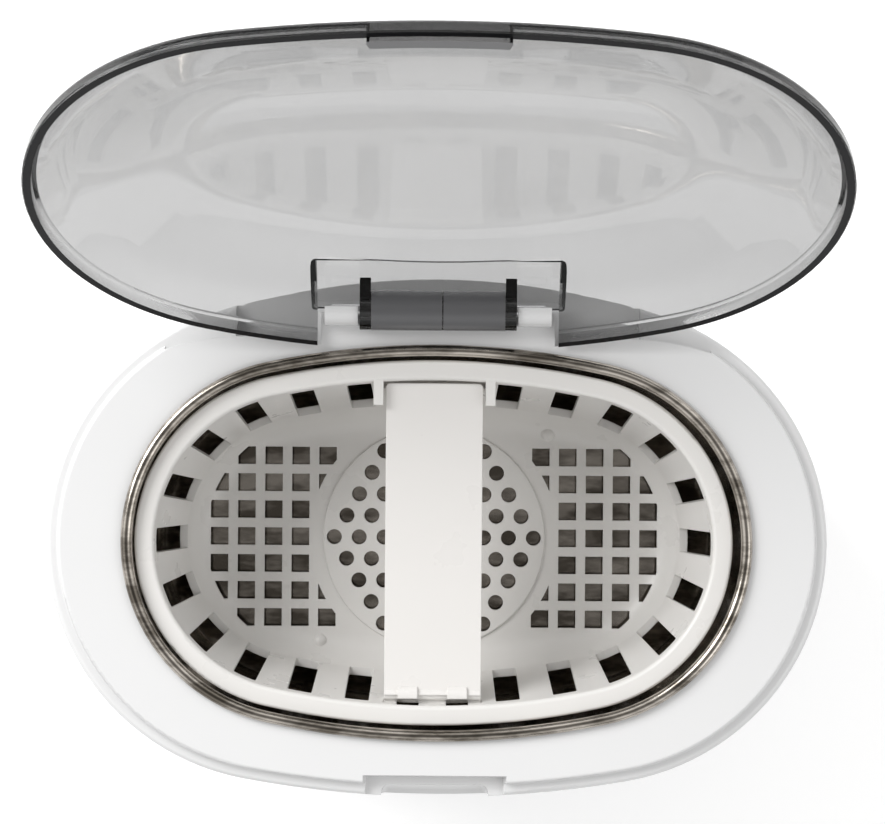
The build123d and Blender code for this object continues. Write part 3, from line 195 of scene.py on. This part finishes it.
def board_laminate():
    """Green circuit board with faint copper runs under the mask."""
    look = Look("circuit_board")
    bricks = look.node("ShaderNodeTexBrick", offset=0.3, offset_frequency=2)
    bricks.inputs["Scale"].default_value = 90.0
    bricks.inputs["Mortar Size"].default_value = 0.12
    bricks.inputs["Color1"].default_value = (0.012, 0.09, 0.035, 1)
    bricks.inputs["Color2"].default_value = (0.016, 0.11, 0.045, 1)
    bricks.inputs["Mortar"].default_value = (0.03, 0.17, 0.07, 1)
    look.link(look.coords, bricks.inputs["Vector"])
    look.colour(bricks.outputs["Color"])
    look.roughness(look.spread(look.noise(80), 0.3, 0.5))
    look.relief([(bricks.outputs["Fac"], 0.02 * MM)])
    return look


def wound(name, dark, light, turns, axis):
    """Rows of wire or wraps of tape running round a coil."""
    look = Look(name)
    wave = look.node("ShaderNodeTexWave", bands_direction=axis)
    wave.inputs["Scale"].default_value = turns
    wave.inputs["Distortion"].default_value = 0.4
    look.link(look.coords, wave.inputs["Vector"])
    look.colour(look.blend(wave.outputs["Fac"], dark, light))
    look.roughness(look.spread(look.noise(150), 0.28, 0.45))
    look.relief([(wave.outputs["Fac"], 0.15 * MM)])
    return look


def fired(name, colour, rough):
    """Ceramic or ferrite: speckled, with a granular surface."""
    look = Look(name)
    look.colour(look.blend(look.spread(look.noise(900, 4), 0, 1), darker(colour, 0.75), colour))
    look.roughness(look.spread(look.noise(300), rough * 0.85, rough * 1.1))
    look.relief([(look.noise(1200, 3), 0.02 * MM)], 0.2 * MM)
    return look


def rubber(name, colour):
    look = moulded(name, colour, 0.75, 0.8, 0.02 * MM, 0.3 * MM)
    look.constant(Sheen_Weight=0.15)
    return look


def clear(name, colour, tint_density, rough=0.03):
    """Clear glass or lens plastic, tinted through its depth."""
    look = Look(name)
    look.colour(look.blend(look.spread(look.noise(25), 0, 1), darker(colour, 0.96), colour))
    look.roughness(look.spread(look.noise(50, 4), rough, rough * 2))
    look.relief([(look.noise(120, 2), 0.004 * MM)])
    look.see_through(GLASS_IOR, tint_density)
    return look


def lit_segment():
    """Glowing display segments with slightly uneven light."""
    look = Look("display_segment")
    glow = look.blend(look.spread(look.noise(300), 0, 1), (0.02, 0.25, 0.6), (0.05, 0.4, 0.85))
    look.colour(glow)
    look.link(glow, look.shader.inputs["Emission Color"])
    look.constant(Emission_Strength=2.5)
    look.roughness(look.spread(look.noise(200), 0.35, 0.5))
    return look


LOOKS = {
    "housing": moulded("gloss_white_housing", (0.8, 0.8, 0.8), 0.2, 0.985, coat=0.25),
    "base": moulded("satin_white_base", (0.74, 0.74, 0.735), 0.45, 0.97, 0.012 * MM),
    "feet": rubber("black_rubber_foot", (0.025, 0.025, 0.027)),
    "screws": metal("zinc_screw", (0.62, 0.62, 0.64), 0.28, scale=1500),
    "pin": metal("ground_pin", (0.66, 0.66, 0.67), 0.16, (0.05, 1, 1)),
    "tank": steel_with_painted_reflection(),
    "gasket": rubber("black_gasket", (0.03, 0.028, 0.026)),
    "horn": metal("turned_aluminium", (0.78, 0.78, 0.8), 0.3, (1, 1, 6), 500),
    "piezo": fired("piezo_ceramic", (0.11, 0.105, 0.09), 0.5),
    "electrode": metal("brass_sheet", (0.78, 0.58, 0.26), 0.25),
    "back_mass": metal("turned_steel", (0.5, 0.5, 0.52), 0.3, (1, 1, 8), 500),
    "cutout": moulded("phenolic_cutout", (0.035, 0.03, 0.028), 0.4, 0.8),
    "board": board_laminate(),
    "ferrite": fired("dark_ferrite", (0.045, 0.045, 0.05), 0.45),
    "coil_tape": wound("coil_tape", (0.5, 0.32, 0.03), (0.72, 0.5, 0.06), 90, "Z"),
    "coil_wire": wound("copper_winding", (0.22, 0.06, 0.015), (0.62, 0.25, 0.08), 260, "X"),
    "capacitor": moulded("capacitor_sleeve", (0.012, 0.016, 0.035), 0.25, 0.8),
    "film_cap": moulded("film_capacitor", (0.36, 0.03, 0.015), 0.25, 0.85),
    "heat_sink": metal("extruded_aluminium", (0.6, 0.6, 0.62), 0.35, (1, 1, 0.08)),
    "component": moulded("component_black", (0.02, 0.02, 0.022), 0.4, 0.8),
    "fuse": clear("fuse_glass", (0.95, 0.97, 0.97), 20.0),
    "header": moulded("nylon_header", (0.75, 0.72, 0.62), 0.4),
    "panel": moulded("satin_grey_fascia", (0.3, 0.315, 0.335), 0.38, 0.95, 0.012 * MM, 0.2 * MM),
    "lens": clear("smoked_lens", (0.6, 0.62, 0.66), 1400.0),
    "inlet": moulded("black_inlet", (0.02, 0.02, 0.02), 0.4, 0.8),
    "pins": metal("nickel_pin", (0.7, 0.68, 0.62), 0.2),
    "lead": rubber("lead_insulation", (0.04, 0.04, 0.045)),
    "ribbon": wound("ribbon_cable", (0.26, 0.27, 0.29), (0.36, 0.37, 0.39), 420, "X"),
    "lid": smoke_plastic(),
    "basket": moulded("warm_white_basket", (0.8, 0.785, 0.76), 0.3, 0.985, 0.003 * MM),
    "handle": moulded("warm_white_handle", (0.81, 0.79, 0.765), 0.3, 0.985, 0.003 * MM),
    "button": moulded("satin_button", (0.56, 0.57, 0.58), 0.3, 0.96),
}


def dress_nodes():
    """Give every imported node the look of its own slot."""
    for entry in frame["record"]["subparts"]:
        node = nodes[entry["node"]]
        node.data.materials.clear()
        node.data.materials.append(LOOKS[entry["material_slot"]].material)


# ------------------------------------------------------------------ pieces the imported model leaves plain
def closed_mesh(name, corners, faces, look):
    """A mesh object from corners and faces, with outward normals and sharp edges kept."""
    mesh = bpy.data.meshes.new(name)
    mesh.from_pydata(corners, [], faces)
    shaped = bmesh.new()
    shaped.from_mesh(mesh)
    bmesh.ops.recalc_face_normals(shaped, faces=shaped.faces)
    shaped.to_mesh(mesh)
    shaped.free()
    mesh.polygons.foreach_set("use_smooth", [True] * len(mesh.polygons))
    mesh.set_sharp_from_angle(angle=radians(35))
    mesh.materials.append(look.material)
    piece = bpy.data.objects.new(name, mesh)
    bpy.context.scene.collection.objects.link(piece)
    return piece


def curved_strip(name, x, radii, angles, axis, look, steps=40):
    """Part of a tube along X round an axis at (y, z), between two angles above the +Y direction."""
    corners = []
    for step in range(steps + 1):
        angle = radians(angles[0] + (angles[1] - angles[0]) * step / steps)
        for radius in radii:
            for end in x:
                corners.append((end, axis[0] + radius * cos(angle), axis[1] + radius * sin(angle)))
    last = 4 * steps
    faces = [(0, 1, 3, 2), (last, last + 2, last + 3, last + 1)]
    for step in range(steps):
        first = 4 * step
        for a, b in ((0, 1), (1, 3), (3, 2), (2, 0)):
            faces.append((first + a, first + b, first + b + 4, first + a + 4))
    return closed_mesh(name, corners, faces, look)


def front_plates(name, outlines, y, depth, look):
    """Thin plates facing the front, from outlines of (x, z) corners."""
    corners, faces = [], []
    for outline in outlines:
        first, count = len(corners), len(outline)
        corners += [(x, y, z) for x, z in outline] + [(x, y + depth, z) for x, z in outline]
        faces += [tuple(range(first, first + count)), tuple(range(first + count, first + 2 * count))]
        for index in range(count):
            after = (index + 1) % count
            faces.append((first + index, first + after, first + count + after, first + count + index))
    return closed_mesh(name, corners, faces, look)


# The lid's barrel and rim, in millimetres and in degrees above the +Y direction.
BARREL_ENDS = {"left": (-17.4, 1.0), "right": (1.35, 17.4)}
BARREL_SKIN_RADII = (5.16, 5.26)
BARREL_SKIN_ANGLES = (-25, 205)
RIM_BELOW_HINGE = 7.0
GRIP_BELOW_RIM = 1.4
GRIP_REACH = 20.0
SKIN_THICK = 0.04
LEVEL_MARGIN = 0.01
WELD_DISTANCE = 0.001


def barrel_skin():
    """The satin outside of the lid's barrel, in two lengths either side of its mould line."""
    skin = moulded("satin_smoke_barrel", (0.13, 0.13, 0.135), 0.24, 0.9, 0.004 * MM, edge=None)
    radii = [radius * MM for radius in BARREL_SKIN_RADII]
    for side, ends in BARREL_ENDS.items():
        x = [end * MM for end in ends]
        axis = lid_hinge["pos_m"][1:]
        strip = curved_strip(f"barrel_skin_{side}", x, radii, BARREL_SKIN_ANGLES, axis, skin)
        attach(strip, "lid")


def lid_face_skin(name, height, look, half_width=inf):
    """A thin skin on the lid's flat faces at one height above its rim, taken from the lid's own shape."""
    hinge = Vector(lid_hinge["pos_m"])
    close = Matrix.Rotation(radians(-lid_hinge["range_deg"][0]), 3, "X")
    level = (height - RIM_BELOW_HINGE) * MM
    skin = bmesh.new()
    skin.from_mesh(nodes["lid"].data)
    for corner in skin.verts:
        corner.co = close @ (corner.co - hinge)

    def kept(face):
        return all(
            abs(corner.co.z - level) < LEVEL_MARGIN * MM and abs(corner.co.x) < half_width
            for corner in face.verts
        )

    bmesh.ops.delete(skin, geom=[face for face in skin.faces if not kept(face)], context="FACES")
    bmesh.ops.remove_doubles(skin, verts=skin.verts, dist=WELD_DISTANCE * MM)
    for element in bmesh.ops.extrude_face_region(skin, geom=skin.faces[:])["geom"]:
        if isinstance(element, bmesh.types.BMVert):
            element.co.z -= SKIN_THICK * MM
    open_lid = close.inverted()
    for corner in skin.verts:
        corner.co = open_lid @ corner.co + hinge
    skin.verts.index_update()
    corners = [tuple(corner.co) for corner in skin.verts]
    faces = [tuple(corner.index for corner in face.verts) for face in skin.faces]
    skin.free()
    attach(closed_mesh(name, corners, faces, look), "lid")


def rim_skins():
    """The near-black underside of the lid's rim, partly the real deep tint of its thick smoke plastic and partly
    painted shade for the dark of internal reflection; and the grey face of its grip tab.
    """
    # Painted shade: an opaque near-black skin on the rim's underside, in place of the dark that light inside the
    # clear rim gives.
    painted_rim_shade = moulded("rim_painted_shade", (0.012, 0.012, 0.013), 0.22, 0.85, 0.003 * MM, edge=None)
    painted_rim_shade.constant(Specular_IOR_Level=0.12)
    grey = moulded("grip_grey", (0.2, 0.2, 0.205), 0.35, 0.9, 0.004 * MM, edge=None)
    lid_face_skin("rim_underside_painted_shade", 0.0, painted_rim_shade)
    lid_face_skin("grip_face", -GRIP_BELOW_RIM, grey, GRIP_REACH * MM)


# A seven-bar digit: each bar's ends as shares of the digit's half width and half height.
BAR_SPANS = {
    "top": ((-1, 1), (1, 1)),
    "upper_right": ((1, 1), (1, 0)),
    "lower_right": ((1, 0), (1, -1)),
    "bottom": ((-1, -1), (1, -1)),
    "lower_left": ((-1, 0), (-1, -1)),
    "upper_left": ((-1, 1), (-1, 0)),
    "middle": ((-1, 0), (1, 0)),
}
BARS_LIT = {
    1: ("upper_right", "lower_right"),
    8: tuple(BAR_SPANS),
    0: tuple(bar for bar in BAR_SPANS if bar != "middle"),
}
DIGITS_SHOWN = (1, 8, 0)
DIGIT_SPACING = 7.0
DIGIT_HALF = (2.1, 4.0)
BAR_HALF = 0.42
BAR_GAP = 0.15
DIGIT_DEPTH = 0.1


def digit_bar(start, end):
    """A lit bar between two points as a six-cornered outline with pointed ends."""
    along = (Vector(end) - Vector(start)).normalized()
    across = Vector((-along.y, along.x)) * BAR_HALF
    near = Vector(start) + along * BAR_GAP
    far = Vector(end) - along * BAR_GAP
    inner_near = near + along * BAR_HALF
    inner_far = far - along * BAR_HALF
    return [near, inner_near + across, inner_far + across, far, inner_far - across, inner_near - across]


def display_digits():
    """Three seven-bar digits on the display block, seen through the lens."""
    low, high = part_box("display_module")
    centre_z = (low.z + high.z) / 2 / MM
    half_width, half_height = DIGIT_HALF
    depth = DIGIT_DEPTH * MM
    outlines = []
    for place, digit in enumerate(DIGITS_SHOWN):
        centre_x = (place - 1) * DIGIT_SPACING
        for bar in BARS_LIT[digit]:
            start, end = [(centre_x + x * half_width, centre_z + z * half_height) for x, z in BAR_SPANS[bar]]
            outlines.append([(point.x * MM, point.y * MM) for point in digit_bar(start, end)])
    digits = front_plates("display_digits", outlines, low.y - depth, depth, lit_segment())
    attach(digits, "unit")


def ring(radius, width, start, end, steps=24):
    """An open ring's outline from start to end degrees, anticlockwise from +X."""
    angles = [radians(start + (end - start) * step / steps) for step in range(steps + 1)]
    outer = [(radius * cos(angle), radius * sin(angle)) for angle in angles]
    inner = [((radius - width) * cos(angle), (radius - width) * sin(angle)) for angle in angles]
    return outer + inner[::-1]


def block(left, right, bottom, top):
    return [(left, bottom), (right, bottom), (right, top), (left, top)]


# Each button's printed mark, in millimetres from the button's centre, and how it sits on the face.
BUTTON_MARKS = {
    "power_button": (ring(2.0, 0.45, 125, 415), block(-0.22, 0.22, 0.5, 2.5)),
    "timer_button": (ring(2.1, 0.4, 91, 449), block(-0.2, 0.2, -0.2, 1.4), block(0.21, 1.1, -0.2, 0.2)),
    "stop_button": (block(-1.4, 1.4, -1.4, 1.4),),
}
MARK_DEPTH = 0.05
MARK_PROUD = 0.02


def button_symbols():
    """A generic printed mark on each button: a power sign, a clock face and a square."""
    ink = moulded("button_ink", (0.05, 0.052, 0.056), 0.5, 0.85, 0.002 * MM, edge=None)
    for name, shapes in BUTTON_MARKS.items():
        low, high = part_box(name)
        centre_x, centre_z = (low.x + high.x) / 2, (low.z + high.z) / 2
        outlines = [[(centre_x + x * MM, centre_z + z * MM) for x, z in shape] for shape in shapes]
        mark = front_plates(f"{name}_mark", outlines, low.y - MARK_PROUD * MM, MARK_DEPTH * MM, ink)
        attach(mark, name)


# ------------------------------------------------------------------ floor, light and camera
FLOOR_WIDTH = 8.0


def floor():
    """A pale floor under the feet; it lights the walls less than its own brightness would."""
    bpy.ops.mesh.primitive_plane_add(size=FLOOR_WIDTH, location=(0, 0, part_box("rubber_feet")[0].z))
    plane = bpy.context.object
    plane.name = "floor"
    look = Look("pale_floor")
    look.colour(look.blend(look.spread(look.noise(3), 0, 1), (0.93, 0.93, 0.93), (0.95, 0.95, 0.95)))
    look.roughness(look.spread(look.noise(20), 0.6, 0.8))
    look.constant(Emission_Color=(1, 1, 1, 1), Emission_Strength=0.3)
    dim = look.node("ShaderNodeBsdfDiffuse")
    dim.inputs["Color"].default_value = (0.4, 0.4, 0.4, 1)
    mix = look.node("ShaderNodeMixShader")
    look.link(look.node("ShaderNodeLightPath").outputs["Is Diffuse Ray"], mix.inputs["Fac"])
    look.link(look.shader.outputs["BSDF"], mix.inputs[1])
    look.link(dim.outputs["BSDF"], mix.inputs[2])
    look.link(mix.outputs["Shader"], look.output.inputs["Surface"])
    plane.data.materials.append(look.material)


# The surroundings: brightness by height, from level (0) to straight up (1), and by side, front to back.
LEVEL_LIGHT = (0.42, 0.42, 0.425, 1)
MIDDLE_LIGHTS = ((0.3, 0.62), (0.5, 0.95), (0.78, 0.92))
ZENITH_HEIGHT = 0.97
ZENITH_LIGHT = (0.2, 0.195, 0.19, 1)
FRONT_STRENGTH = 0.9
BACK_STRENGTH = 1.22


def studio_world():
    """Soft light all round that darkens towards the zenith, where the room above is unlit."""
    world = bpy.data.worlds.new("studio")
    bpy.context.scene.world = world
    world.use_nodes = True
    tree = world.node_tree
    direction = tree.nodes.new("ShaderNodeTexCoord")
    split = tree.nodes.new("ShaderNodeSeparateXYZ")
    ramp = tree.nodes.new("ShaderNodeValToRGB")
    tree.links.new(direction.outputs["Generated"], split.inputs["Vector"])
    tree.links.new(split.outputs["Z"], ramp.inputs["Fac"])
    stops = ramp.color_ramp.elements
    stops[0].position, stops[0].color = 0.0, LEVEL_LIGHT
    stops[1].position, stops[1].color = ZENITH_HEIGHT, ZENITH_LIGHT
    for height, level in MIDDLE_LIGHTS:
        stops.new(height).color = (level, level, level, 1)
    background = tree.nodes["Background"]
    tree.links.new(ramp.outputs["Color"], background.inputs["Color"])
    back_light = tree.nodes.new("ShaderNodeMapRange")
    tree.links.new(split.outputs["Y"], back_light.inputs["Value"])
    back_light.inputs["From Min"].default_value = -1.0
    back_light.inputs["From Max"].default_value = 1.0
    back_light.inputs["To Min"].default_value = FRONT_STRENGTH
    back_light.inputs["To Max"].default_value = BACK_STRENGTH
    tree.links.new(back_light.outputs["Result"], background.inputs["Strength"])


def softbox(name, place, aim, size, power):
    """A rectangular lamp at a place, turned to face the aim."""
    light = bpy.data.lights.new(name, "AREA")
    light.shape = "RECTANGLE"
    light.size, light.size_y = size
    light.energy = power
    lamp = bpy.data.objects.new(name, light)
    lamp.location = place
    lamp.rotation_mode = "QUATERNION"
    lamp.rotation_quaternion = (Vector(aim) - Vector(place)).to_track_quat("-Z", "Y")
    bpy.context.scene.collection.objects.link(lamp)


def lights():
    """A key light from behind on the left and a weak fill from the front right."""
    deck = (0, 0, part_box("top_housing")[1].z)
    softbox("key", place=(-1.15, 0.8, 1.15), aim=deck, size=(1.1, 0.9), power=23.0)
    softbox("fill", place=(1.3, -0.5, 1.2), aim=deck, size=(1.0, 1.0), power=3.0)


CAMERA_HEIGHT = 1.114
CAMERA_PLACE = (0.0013, 0.0343)
CAMERA_ROLL = 0.45
FOCAL_LENGTH = 155.55
SENSOR_WIDTH = 36.0
CLIP_NEAR = 0.05
CLIP_FAR = 20.0


def camera():
    """Straight above the open unit, a metre over its deck."""
    data = bpy.data.cameras.new("camera")
    data.lens = FOCAL_LENGTH
    data.sensor_width = SENSOR_WIDTH
    data.clip_start, data.clip_end = CLIP_NEAR, CLIP_FAR
    eye = bpy.data.objects.new("camera", data)
    eye.location = (*CAMERA_PLACE, CAMERA_HEIGHT)
    eye.rotation_euler = (0, 0, radians(CAMERA_ROLL))
    bpy.context.scene.collection.objects.link(eye)
    bpy.context.scene.camera = eye


# ------------------------------------------------------------------ build
dress_nodes()
barrel_skin()
rim_skins()
display_digits()
button_symbols()
floor()
studio_world()
lights()
camera()
bpy.context.scene.view_settings.view_transform = "Standard"
bpy.context.view_layer.update()
